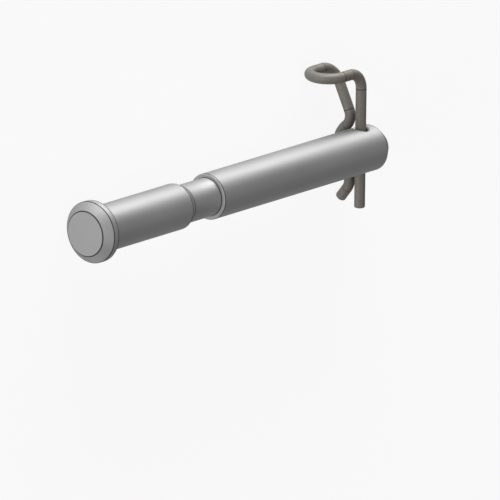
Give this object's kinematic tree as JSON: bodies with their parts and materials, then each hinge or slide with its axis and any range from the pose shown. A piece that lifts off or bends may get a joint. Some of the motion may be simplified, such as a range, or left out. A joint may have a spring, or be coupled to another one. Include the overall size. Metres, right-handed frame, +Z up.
{
  "type": "brake pad pin",
  "caption": "Headed steel pin that carries brake pads, with a tapered neck, a chamfered tip and a bent spring wire clip through its cross hole.",
  "frame": {"origin": "on the pin's axis, in the plane of the head's underside, where the length under the head is measured from", "axes": "+X along the pin from the head to the tip, +Z up from the table that the pin and its clip lie on, +Y towards the clip's loop"},
  "size_m": [0.0571, 0.0191, 0.0084],
  "materials": {
    "pin_steel": "turned and ground steel, satin, with fine rings round it",
    "clip_wire": "drawn spring steel wire, phosphated and oiled, warm dark grey"
  },
  "bodies": {
    "root": {"pin": "pin_steel", "clip": "clip_wire"}
  },
  "joints": []
}
